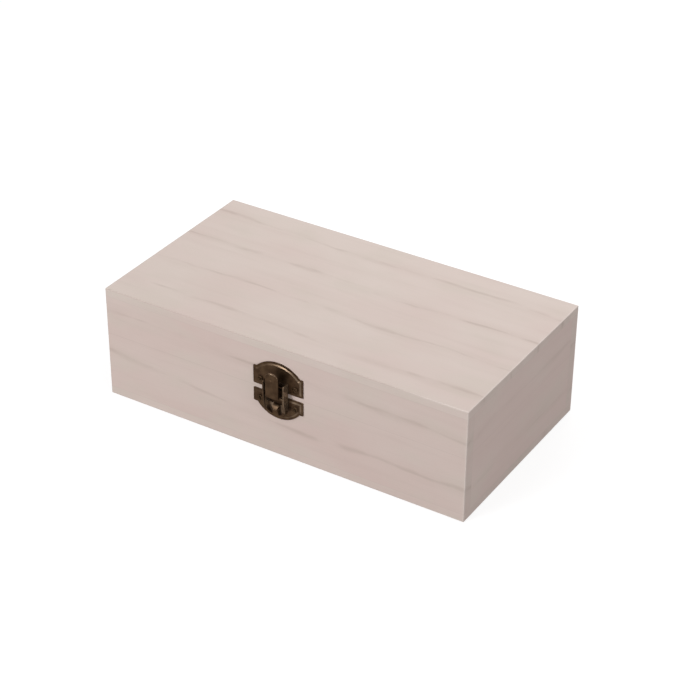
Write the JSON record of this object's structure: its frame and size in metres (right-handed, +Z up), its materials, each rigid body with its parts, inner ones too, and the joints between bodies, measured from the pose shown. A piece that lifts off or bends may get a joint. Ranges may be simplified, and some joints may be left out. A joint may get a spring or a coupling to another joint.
{
  "type": "hinged storage box",
  "caption": "Flat rectangular box of bare wood with a hinged lid and a toggle latch, for storing craft supplies and small parts.",
  "frame": {"origin": "centre of the wooden box's underside", "axes": "+X along the box to the right seen from the front, +Y to the back, where the hinges are, +Z up; the latch faces -Y"},
  "size_m": [0.24, 0.141, 0.072],
  "materials": {
    "bare_wood": "sanded, unfinished",
    "antique_bronze": "antique bronze, satin",
    "screw_bronze": "antique bronze, satin"
  },
  "bodies": {
    "base": {"base_front_board": "bare_wood", "base_back_board": "bare_wood", "base_left_board": "bare_wood", "base_right_board": "bare_wood", "base_bottom_panel": "bare_wood", "latch_lower_plate": "antique_bronze", "latch_lower_screws": "screw_bronze", "latch_lever_pin": "antique_bronze", "hinge_left_base_leaf": "antique_bronze", "hinge_right_base_leaf": "antique_bronze", "hinge_left_pin": "antique_bronze", "hinge_right_pin": "antique_bronze", "hinge_base_screws": "screw_bronze"},
    "lid": {"lid_front_board": "bare_wood", "lid_back_board": "bare_wood", "lid_left_board": "bare_wood", "lid_right_board": "bare_wood", "lid_top_panel": "bare_wood", "latch_upper_plate": "antique_bronze", "latch_upper_screws": "screw_bronze", "hinge_left_lid_leaf": "antique_bronze", "hinge_right_lid_leaf": "antique_bronze", "hinge_lid_screws": "screw_bronze"},
    "lever": {"latch_lever": "antique_bronze", "latch_loop_rivets": "antique_bronze"},
    "loop": {"latch_loop": "antique_bronze"}
  },
  "joints": [
    {"name": "lid_hinge", "type": "hinge", "parent": "base", "child": "lid", "pos_m": [0, 0.06675, 0.042], "axis": [-1, 0, 0], "range_deg": [0, 180]},
    {"name": "lever_pivot", "type": "hinge", "parent": "base", "child": "lever", "pos_m": [0, -0.068, 0.0409], "axis": [-1, 0, 0], "range_deg": [0, 118]},
    {"name": "loop_pivot", "type": "hinge", "parent": "lever", "child": "loop", "pos_m": [0, -0.0684, 0.0332], "axis": [-1, 0, 0], "range_deg": [-100.5, 0]}
  ],
  "couplings": [
    {"joint": "loop_pivot", "follows": "lever_pivot", "ratio": -0.85}
  ]
}
